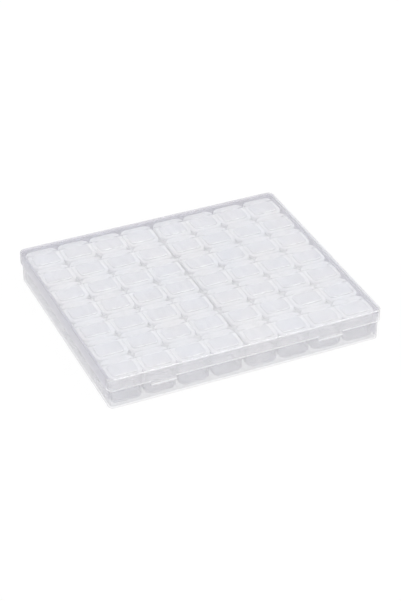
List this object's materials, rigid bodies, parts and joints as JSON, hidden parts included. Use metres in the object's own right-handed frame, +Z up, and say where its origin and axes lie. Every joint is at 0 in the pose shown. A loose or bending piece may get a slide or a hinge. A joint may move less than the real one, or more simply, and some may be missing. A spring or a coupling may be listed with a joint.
{
  "type": "bead organizer",
  "caption": "Flat clear case with a hinged, latching lid, holding strips of small cups for beads, each cup with its own hinged lid.",
  "frame": {"origin": "centre of the cell field on the case's flat underside", "axes": "+X along the case's long side, +Y to the back, where the case lid is hinged, +Z up out of the cups"},
  "size_m": [0.212, 0.1871, 0.0255],
  "materials": {
    "case_plastic": "clear, faintly milky, glossy",
    "cup_plastic": "milky translucent, satin",
    "cell_lid_plastic": "milky translucent, satin"
  },
  "bodies": {
    "case": {"case_base": "case_plastic", "strips_left": "cup_plastic", "strips_right": "cup_plastic"},
    "case_lid": {"case_lid": "case_plastic"},
    "cell_lid_r1c1": {"cell_lid_r1c1": "cell_lid_plastic"},
    "cell_lid_r1c2": {"cell_lid_r1c2": "cell_lid_plastic"},
    "cell_lid_r1c3": {"cell_lid_r1c3": "cell_lid_plastic"},
    "cell_lid_r1c4": {"cell_lid_r1c4": "cell_lid_plastic"},
    "cell_lid_r1c5": {"cell_lid_r1c5": "cell_lid_plastic"},
    "cell_lid_r1c6": {"cell_lid_r1c6": "cell_lid_plastic"},
    "cell_lid_r1c7": {"cell_lid_r1c7": "cell_lid_plastic"},
    "cell_lid_r1c8": {"cell_lid_r1c8": "cell_lid_plastic"},
    "cell_lid_r2c1": {"cell_lid_r2c1": "cell_lid_plastic"},
    "cell_lid_r2c2": {"cell_lid_r2c2": "cell_lid_plastic"},
    "cell_lid_r2c3": {"cell_lid_r2c3": "cell_lid_plastic"},
    "cell_lid_r2c4": {"cell_lid_r2c4": "cell_lid_plastic"},
    "cell_lid_r2c5": {"cell_lid_r2c5": "cell_lid_plastic"},
    "cell_lid_r2c6": {"cell_lid_r2c6": "cell_lid_plastic"},
    "cell_lid_r2c7": {"cell_lid_r2c7": "cell_lid_plastic"},
    "cell_lid_r2c8": {"cell_lid_r2c8": "cell_lid_plastic"},
    "cell_lid_r3c1": {"cell_lid_r3c1": "cell_lid_plastic"},
    "cell_lid_r3c2": {"cell_lid_r3c2": "cell_lid_plastic"},
    "cell_lid_r3c3": {"cell_lid_r3c3": "cell_lid_plastic"},
    "cell_lid_r3c4": {"cell_lid_r3c4": "cell_lid_plastic"},
    "cell_lid_r3c5": {"cell_lid_r3c5": "cell_lid_plastic"},
    "cell_lid_r3c6": {"cell_lid_r3c6": "cell_lid_plastic"},
    "cell_lid_r3c7": {"cell_lid_r3c7": "cell_lid_plastic"},
    "cell_lid_r3c8": {"cell_lid_r3c8": "cell_lid_plastic"},
    "cell_lid_r4c1": {"cell_lid_r4c1": "cell_lid_plastic"},
    "cell_lid_r4c2": {"cell_lid_r4c2": "cell_lid_plastic"},
    "cell_lid_r4c3": {"cell_lid_r4c3": "cell_lid_plastic"},
    "cell_lid_r4c4": {"cell_lid_r4c4": "cell_lid_plastic"},
    "cell_lid_r4c5": {"cell_lid_r4c5": "cell_lid_plastic"},
    "cell_lid_r4c6": {"cell_lid_r4c6": "cell_lid_plastic"},
    "cell_lid_r4c7": {"cell_lid_r4c7": "cell_lid_plastic"},
    "cell_lid_r4c8": {"cell_lid_r4c8": "cell_lid_plastic"},
    "cell_lid_r5c1": {"cell_lid_r5c1": "cell_lid_plastic"},
    "cell_lid_r5c2": {"cell_lid_r5c2": "cell_lid_plastic"},
    "cell_lid_r5c3": {"cell_lid_r5c3": "cell_lid_plastic"},
    "cell_lid_r5c4": {"cell_lid_r5c4": "cell_lid_plastic"},
    "cell_lid_r5c5": {"cell_lid_r5c5": "cell_lid_plastic"},
    "cell_lid_r5c6": {"cell_lid_r5c6": "cell_lid_plastic"},
    "cell_lid_r5c7": {"cell_lid_r5c7": "cell_lid_plastic"},
    "cell_lid_r5c8": {"cell_lid_r5c8": "cell_lid_plastic"},
    "cell_lid_r6c1": {"cell_lid_r6c1": "cell_lid_plastic"},
    "cell_lid_r6c2": {"cell_lid_r6c2": "cell_lid_plastic"},
    "cell_lid_r6c3": {"cell_lid_r6c3": "cell_lid_plastic"},
    "cell_lid_r6c4": {"cell_lid_r6c4": "cell_lid_plastic"},
    "cell_lid_r6c5": {"cell_lid_r6c5": "cell_lid_plastic"},
    "cell_lid_r6c6": {"cell_lid_r6c6": "cell_lid_plastic"},
    "cell_lid_r6c7": {"cell_lid_r6c7": "cell_lid_plastic"},
    "cell_lid_r6c8": {"cell_lid_r6c8": "cell_lid_plastic"},
    "cell_lid_r7c1": {"cell_lid_r7c1": "cell_lid_plastic"},
    "cell_lid_r7c2": {"cell_lid_r7c2": "cell_lid_plastic"},
    "cell_lid_r7c3": {"cell_lid_r7c3": "cell_lid_plastic"},
    "cell_lid_r7c4": {"cell_lid_r7c4": "cell_lid_plastic"},
    "cell_lid_r7c5": {"cell_lid_r7c5": "cell_lid_plastic"},
    "cell_lid_r7c6": {"cell_lid_r7c6": "cell_lid_plastic"},
    "cell_lid_r7c7": {"cell_lid_r7c7": "cell_lid_plastic"},
    "cell_lid_r7c8": {"cell_lid_r7c8": "cell_lid_plastic"}
  },
  "joints": [
    {"name": "case_lid_hinge", "type": "hinge", "parent": "case", "child": "case_lid", "pos_m": [0, 0.0932, 0.0145], "axis": [-1, 0, 0], "range_deg": [0, 110]},
    {"name": "cell_lid_r1c1_hinge", "type": "hinge", "parent": "case", "child": "cell_lid_r1c1", "pos_m": [-0.09015, -0.06962, 0.0224], "axis": [-1, 0, 0], "range_deg": [0, 110]},
    {"name": "cell_lid_r1c2_hinge", "type": "hinge", "parent": "case", "child": "cell_lid_r1c2", "pos_m": [-0.06459, -0.06962, 0.0224], "axis": [-1, 0, 0], "range_deg": [0, 110]},
    {"name": "cell_lid_r1c3_hinge", "type": "hinge", "parent": "case", "child": "cell_lid_r1c3", "pos_m": [-0.03903, -0.06962, 0.0224], "axis": [-1, 0, 0], "range_deg": [0, 110]},
    {"name": "cell_lid_r1c4_hinge", "type": "hinge", "parent": "case", "child": "cell_lid_r1c4", "pos_m": [-0.01347, -0.06962, 0.0224], "axis": [-1, 0, 0], "range_deg": [0, 110]},
    {"name": "cell_lid_r1c5_hinge", "type": "hinge", "parent": "case", "child": "cell_lid_r1c5", "pos_m": [0.01347, -0.06962, 0.0224], "axis": [-1, 0, 0], "range_deg": [0, 110]},
    {"name": "cell_lid_r1c6_hinge", "type": "hinge", "parent": "case", "child": "cell_lid_r1c6", "pos_m": [0.03903, -0.06962, 0.0224], "axis": [-1, 0, 0], "range_deg": [0, 110]},
    {"name": "cell_lid_r1c7_hinge", "type": "hinge", "parent": "case", "child": "cell_lid_r1c7", "pos_m": [0.06459, -0.06962, 0.0224], "axis": [-1, 0, 0], "range_deg": [0, 110]},
    {"name": "cell_lid_r1c8_hinge", "type": "hinge", "parent": "case", "child": "cell_lid_r1c8", "pos_m": [0.09015, -0.06962, 0.0224], "axis": [-1, 0, 0], "range_deg": [0, 110]},
    {"name": "cell_lid_r2c1_hinge", "type": "hinge", "parent": "case", "child": "cell_lid_r2c1", "pos_m": [-0.09015, -0.04428, 0.0224], "axis": [-1, 0, 0], "range_deg": [0, 110]},
    {"name": "cell_lid_r2c2_hinge", "type": "hinge", "parent": "case", "child": "cell_lid_r2c2", "pos_m": [-0.06459, -0.04428, 0.0224], "axis": [-1, 0, 0], "range_deg": [0, 110]},
    {"name": "cell_lid_r2c3_hinge", "type": "hinge", "parent": "case", "child": "cell_lid_r2c3", "pos_m": [-0.03903, -0.04428, 0.0224], "axis": [-1, 0, 0], "range_deg": [0, 110]},
    {"name": "cell_lid_r2c4_hinge", "type": "hinge", "parent": "case", "child": "cell_lid_r2c4", "pos_m": [-0.01347, -0.04428, 0.0224], "axis": [-1, 0, 0], "range_deg": [0, 110]},
    {"name": "cell_lid_r2c5_hinge", "type": "hinge", "parent": "case", "child": "cell_lid_r2c5", "pos_m": [0.01347, -0.04428, 0.0224], "axis": [-1, 0, 0], "range_deg": [0, 110]},
    {"name": "cell_lid_r2c6_hinge", "type": "hinge", "parent": "case", "child": "cell_lid_r2c6", "pos_m": [0.03903, -0.04428, 0.0224], "axis": [-1, 0, 0], "range_deg": [0, 110]},
    {"name": "cell_lid_r2c7_hinge", "type": "hinge", "parent": "case", "child": "cell_lid_r2c7", "pos_m": [0.06459, -0.04428, 0.0224], "axis": [-1, 0, 0], "range_deg": [0, 110]},
    {"name": "cell_lid_r2c8_hinge", "type": "hinge", "parent": "case", "child": "cell_lid_r2c8", "pos_m": [0.09015, -0.04428, 0.0224], "axis": [-1, 0, 0], "range_deg": [0, 110]},
    {"name": "cell_lid_r3c1_hinge", "type": "hinge", "parent": "case", "child": "cell_lid_r3c1", "pos_m": [-0.09015, -0.01894, 0.0224], "axis": [-1, 0, 0], "range_deg": [0, 110]},
    {"name": "cell_lid_r3c2_hinge", "type": "hinge", "parent": "case", "child": "cell_lid_r3c2", "pos_m": [-0.06459, -0.01894, 0.0224], "axis": [-1, 0, 0], "range_deg": [0, 110]},
    {"name": "cell_lid_r3c3_hinge", "type": "hinge", "parent": "case", "child": "cell_lid_r3c3", "pos_m": [-0.03903, -0.01894, 0.0224], "axis": [-1, 0, 0], "range_deg": [0, 110]},
    {"name": "cell_lid_r3c4_hinge", "type": "hinge", "parent": "case", "child": "cell_lid_r3c4", "pos_m": [-0.01347, -0.01894, 0.0224], "axis": [-1, 0, 0], "range_deg": [0, 110]},
    {"name": "cell_lid_r3c5_hinge", "type": "hinge", "parent": "case", "child": "cell_lid_r3c5", "pos_m": [0.01347, -0.01894, 0.0224], "axis": [-1, 0, 0], "range_deg": [0, 110]},
    {"name": "cell_lid_r3c6_hinge", "type": "hinge", "parent": "case", "child": "cell_lid_r3c6", "pos_m": [0.03903, -0.01894, 0.0224], "axis": [-1, 0, 0], "range_deg": [0, 110]},
    {"name": "cell_lid_r3c7_hinge", "type": "hinge", "parent": "case", "child": "cell_lid_r3c7", "pos_m": [0.06459, -0.01894, 0.0224], "axis": [-1, 0, 0], "range_deg": [0, 110]},
    {"name": "cell_lid_r3c8_hinge", "type": "hinge", "parent": "case", "child": "cell_lid_r3c8", "pos_m": [0.09015, -0.01894, 0.0224], "axis": [-1, 0, 0], "range_deg": [0, 110]},
    {"name": "cell_lid_r4c1_hinge", "type": "hinge", "parent": "case", "child": "cell_lid_r4c1", "pos_m": [-0.09015, 0.0064, 0.0224], "axis": [-1, 0, 0], "range_deg": [0, 110]},
    {"name": "cell_lid_r4c2_hinge", "type": "hinge", "parent": "case", "child": "cell_lid_r4c2", "pos_m": [-0.06459, 0.0064, 0.0224], "axis": [-1, 0, 0], "range_deg": [0, 110]},
    {"name": "cell_lid_r4c3_hinge", "type": "hinge", "parent": "case", "child": "cell_lid_r4c3", "pos_m": [-0.03903, 0.0064, 0.0224], "axis": [-1, 0, 0], "range_deg": [0, 110]},
    {"name": "cell_lid_r4c4_hinge", "type": "hinge", "parent": "case", "child": "cell_lid_r4c4", "pos_m": [-0.01347, 0.0064, 0.0224], "axis": [-1, 0, 0], "range_deg": [0, 110]},
    {"name": "cell_lid_r4c5_hinge", "type": "hinge", "parent": "case", "child": "cell_lid_r4c5", "pos_m": [0.01347, 0.0064, 0.0224], "axis": [-1, 0, 0], "range_deg": [0, 110]},
    {"name": "cell_lid_r4c6_hinge", "type": "hinge", "parent": "case", "child": "cell_lid_r4c6", "pos_m": [0.03903, 0.0064, 0.0224], "axis": [-1, 0, 0], "range_deg": [0, 110]},
    {"name": "cell_lid_r4c7_hinge", "type": "hinge", "parent": "case", "child": "cell_lid_r4c7", "pos_m": [0.06459, 0.0064, 0.0224], "axis": [-1, 0, 0], "range_deg": [0, 110]},
    {"name": "cell_lid_r4c8_hinge", "type": "hinge", "parent": "case", "child": "cell_lid_r4c8", "pos_m": [0.09015, 0.0064, 0.0224], "axis": [-1, 0, 0], "range_deg": [0, 110]},
    {"name": "cell_lid_r5c1_hinge", "type": "hinge", "parent": "case", "child": "cell_lid_r5c1", "pos_m": [-0.09015, 0.03174, 0.0224], "axis": [-1, 0, 0], "range_deg": [0, 110]},
    {"name": "cell_lid_r5c2_hinge", "type": "hinge", "parent": "case", "child": "cell_lid_r5c2", "pos_m": [-0.06459, 0.03174, 0.0224], "axis": [-1, 0, 0], "range_deg": [0, 110]},
    {"name": "cell_lid_r5c3_hinge", "type": "hinge", "parent": "case", "child": "cell_lid_r5c3", "pos_m": [-0.03903, 0.03174, 0.0224], "axis": [-1, 0, 0], "range_deg": [0, 110]},
    {"name": "cell_lid_r5c4_hinge", "type": "hinge", "parent": "case", "child": "cell_lid_r5c4", "pos_m": [-0.01347, 0.03174, 0.0224], "axis": [-1, 0, 0], "range_deg": [0, 110]},
    {"name": "cell_lid_r5c5_hinge", "type": "hinge", "parent": "case", "child": "cell_lid_r5c5", "pos_m": [0.01347, 0.03174, 0.0224], "axis": [-1, 0, 0], "range_deg": [0, 110]},
    {"name": "cell_lid_r5c6_hinge", "type": "hinge", "parent": "case", "child": "cell_lid_r5c6", "pos_m": [0.03903, 0.03174, 0.0224], "axis": [-1, 0, 0], "range_deg": [0, 110]},
    {"name": "cell_lid_r5c7_hinge", "type": "hinge", "parent": "case", "child": "cell_lid_r5c7", "pos_m": [0.06459, 0.03174, 0.0224], "axis": [-1, 0, 0], "range_deg": [0, 110]},
    {"name": "cell_lid_r5c8_hinge", "type": "hinge", "parent": "case", "child": "cell_lid_r5c8", "pos_m": [0.09015, 0.03174, 0.0224], "axis": [-1, 0, 0], "range_deg": [0, 110]},
    {"name": "cell_lid_r6c1_hinge", "type": "hinge", "parent": "case", "child": "cell_lid_r6c1", "pos_m": [-0.09015, 0.05708, 0.0224], "axis": [-1, 0, 0], "range_deg": [0, 110]},
    {"name": "cell_lid_r6c2_hinge", "type": "hinge", "parent": "case", "child": "cell_lid_r6c2", "pos_m": [-0.06459, 0.05708, 0.0224], "axis": [-1, 0, 0], "range_deg": [0, 110]},
    {"name": "cell_lid_r6c3_hinge", "type": "hinge", "parent": "case", "child": "cell_lid_r6c3", "pos_m": [-0.03903, 0.05708, 0.0224], "axis": [-1, 0, 0], "range_deg": [0, 110]},
    {"name": "cell_lid_r6c4_hinge", "type": "hinge", "parent": "case", "child": "cell_lid_r6c4", "pos_m": [-0.01347, 0.05708, 0.0224], "axis": [-1, 0, 0], "range_deg": [0, 110]},
    {"name": "cell_lid_r6c5_hinge", "type": "hinge", "parent": "case", "child": "cell_lid_r6c5", "pos_m": [0.01347, 0.05708, 0.0224], "axis": [-1, 0, 0], "range_deg": [0, 110]},
    {"name": "cell_lid_r6c6_hinge", "type": "hinge", "parent": "case", "child": "cell_lid_r6c6", "pos_m": [0.03903, 0.05708, 0.0224], "axis": [-1, 0, 0], "range_deg": [0, 110]},
    {"name": "cell_lid_r6c7_hinge", "type": "hinge", "parent": "case", "child": "cell_lid_r6c7", "pos_m": [0.06459, 0.05708, 0.0224], "axis": [-1, 0, 0], "range_deg": [0, 110]},
    {"name": "cell_lid_r6c8_hinge", "type": "hinge", "parent": "case", "child": "cell_lid_r6c8", "pos_m": [0.09015, 0.05708, 0.0224], "axis": [-1, 0, 0], "range_deg": [0, 110]},
    {"name": "cell_lid_r7c1_hinge", "type": "hinge", "parent": "case", "child": "cell_lid_r7c1", "pos_m": [-0.09015, 0.08242, 0.0224], "axis": [-1, 0, 0], "range_deg": [0, 110]},
    {"name": "cell_lid_r7c2_hinge", "type": "hinge", "parent": "case", "child": "cell_lid_r7c2", "pos_m": [-0.06459, 0.08242, 0.0224], "axis": [-1, 0, 0], "range_deg": [0, 110]},
    {"name": "cell_lid_r7c3_hinge", "type": "hinge", "parent": "case", "child": "cell_lid_r7c3", "pos_m": [-0.03903, 0.08242, 0.0224], "axis": [-1, 0, 0], "range_deg": [0, 110]},
    {"name": "cell_lid_r7c4_hinge", "type": "hinge", "parent": "case", "child": "cell_lid_r7c4", "pos_m": [-0.01347, 0.08242, 0.0224], "axis": [-1, 0, 0], "range_deg": [0, 110]},
    {"name": "cell_lid_r7c5_hinge", "type": "hinge", "parent": "case", "child": "cell_lid_r7c5", "pos_m": [0.01347, 0.08242, 0.0224], "axis": [-1, 0, 0], "range_deg": [0, 110]},
    {"name": "cell_lid_r7c6_hinge", "type": "hinge", "parent": "case", "child": "cell_lid_r7c6", "pos_m": [0.03903, 0.08242, 0.0224], "axis": [-1, 0, 0], "range_deg": [0, 110]},
    {"name": "cell_lid_r7c7_hinge", "type": "hinge", "parent": "case", "child": "cell_lid_r7c7", "pos_m": [0.06459, 0.08242, 0.0224], "axis": [-1, 0, 0], "range_deg": [0, 110]},
    {"name": "cell_lid_r7c8_hinge", "type": "hinge", "parent": "case", "child": "cell_lid_r7c8", "pos_m": [0.09015, 0.08242, 0.0224], "axis": [-1, 0, 0], "range_deg": [0, 110]}
  ],
  "couplings": [
    {"joint": "cell_lid_r1c1_hinge", "follows": "case_lid_hinge", "ratio": 1},
    {"joint": "cell_lid_r1c2_hinge", "follows": "case_lid_hinge", "ratio": 1},
    {"joint": "cell_lid_r1c3_hinge", "follows": "case_lid_hinge", "ratio": 1},
    {"joint": "cell_lid_r1c4_hinge", "follows": "case_lid_hinge", "ratio": 1},
    {"joint": "cell_lid_r1c5_hinge", "follows": "case_lid_hinge", "ratio": 1},
    {"joint": "cell_lid_r1c6_hinge", "follows": "case_lid_hinge", "ratio": 1},
    {"joint": "cell_lid_r1c7_hinge", "follows": "case_lid_hinge", "ratio": 1},
    {"joint": "cell_lid_r1c8_hinge", "follows": "case_lid_hinge", "ratio": 1},
    {"joint": "cell_lid_r2c1_hinge", "follows": "case_lid_hinge", "ratio": 1},
    {"joint": "cell_lid_r2c2_hinge", "follows": "case_lid_hinge", "ratio": 1},
    {"joint": "cell_lid_r2c3_hinge", "follows": "case_lid_hinge", "ratio": 1},
    {"joint": "cell_lid_r2c4_hinge", "follows": "case_lid_hinge", "ratio": 1},
    {"joint": "cell_lid_r2c5_hinge", "follows": "case_lid_hinge", "ratio": 1},
    {"joint": "cell_lid_r2c6_hinge", "follows": "case_lid_hinge", "ratio": 1},
    {"joint": "cell_lid_r2c7_hinge", "follows": "case_lid_hinge", "ratio": 1},
    {"joint": "cell_lid_r2c8_hinge", "follows": "case_lid_hinge", "ratio": 1},
    {"joint": "cell_lid_r3c1_hinge", "follows": "case_lid_hinge", "ratio": 1},
    {"joint": "cell_lid_r3c2_hinge", "follows": "case_lid_hinge", "ratio": 1},
    {"joint": "cell_lid_r3c3_hinge", "follows": "case_lid_hinge", "ratio": 1},
    {"joint": "cell_lid_r3c4_hinge", "follows": "case_lid_hinge", "ratio": 1},
    {"joint": "cell_lid_r3c5_hinge", "follows": "case_lid_hinge", "ratio": 1},
    {"joint": "cell_lid_r3c6_hinge", "follows": "case_lid_hinge", "ratio": 1},
    {"joint": "cell_lid_r3c7_hinge", "follows": "case_lid_hinge", "ratio": 1},
    {"joint": "cell_lid_r3c8_hinge", "follows": "case_lid_hinge", "ratio": 1},
    {"joint": "cell_lid_r4c1_hinge", "follows": "case_lid_hinge", "ratio": 1},
    {"joint": "cell_lid_r4c2_hinge", "follows": "case_lid_hinge", "ratio": 1},
    {"joint": "cell_lid_r4c3_hinge", "follows": "case_lid_hinge", "ratio": 1},
    {"joint": "cell_lid_r4c4_hinge", "follows": "case_lid_hinge", "ratio": 1},
    {"joint": "cell_lid_r4c5_hinge", "follows": "case_lid_hinge", "ratio": 1},
    {"joint": "cell_lid_r4c6_hinge", "follows": "case_lid_hinge", "ratio": 1},
    {"joint": "cell_lid_r4c7_hinge", "follows": "case_lid_hinge", "ratio": 1},
    {"joint": "cell_lid_r4c8_hinge", "follows": "case_lid_hinge", "ratio": 1},
    {"joint": "cell_lid_r5c1_hinge", "follows": "case_lid_hinge", "ratio": 1},
    {"joint": "cell_lid_r5c2_hinge", "follows": "case_lid_hinge", "ratio": 1},
    {"joint": "cell_lid_r5c3_hinge", "follows": "case_lid_hinge", "ratio": 1},
    {"joint": "cell_lid_r5c4_hinge", "follows": "case_lid_hinge", "ratio": 1},
    {"joint": "cell_lid_r5c5_hinge", "follows": "case_lid_hinge", "ratio": 1},
    {"joint": "cell_lid_r5c6_hinge", "follows": "case_lid_hinge", "ratio": 1},
    {"joint": "cell_lid_r5c7_hinge", "follows": "case_lid_hinge", "ratio": 1},
    {"joint": "cell_lid_r5c8_hinge", "follows": "case_lid_hinge", "ratio": 1},
    {"joint": "cell_lid_r6c1_hinge", "follows": "case_lid_hinge", "ratio": 1},
    {"joint": "cell_lid_r6c2_hinge", "follows": "case_lid_hinge", "ratio": 1},
    {"joint": "cell_lid_r6c3_hinge", "follows": "case_lid_hinge", "ratio": 1},
    {"joint": "cell_lid_r6c4_hinge", "follows": "case_lid_hinge", "ratio": 1},
    {"joint": "cell_lid_r6c5_hinge", "follows": "case_lid_hinge", "ratio": 1},
    {"joint": "cell_lid_r6c6_hinge", "follows": "case_lid_hinge", "ratio": 1},
    {"joint": "cell_lid_r6c7_hinge", "follows": "case_lid_hinge", "ratio": 1},
    {"joint": "cell_lid_r6c8_hinge", "follows": "case_lid_hinge", "ratio": 1},
    {"joint": "cell_lid_r7c1_hinge", "follows": "case_lid_hinge", "ratio": 1},
    {"joint": "cell_lid_r7c2_hinge", "follows": "case_lid_hinge", "ratio": 1},
    {"joint": "cell_lid_r7c3_hinge", "follows": "case_lid_hinge", "ratio": 1},
    {"joint": "cell_lid_r7c4_hinge", "follows": "case_lid_hinge", "ratio": 1},
    {"joint": "cell_lid_r7c5_hinge", "follows": "case_lid_hinge", "ratio": 1},
    {"joint": "cell_lid_r7c6_hinge", "follows": "case_lid_hinge", "ratio": 1},
    {"joint": "cell_lid_r7c7_hinge", "follows": "case_lid_hinge", "ratio": 1},
    {"joint": "cell_lid_r7c8_hinge", "follows": "case_lid_hinge", "ratio": 1}
  ]
}
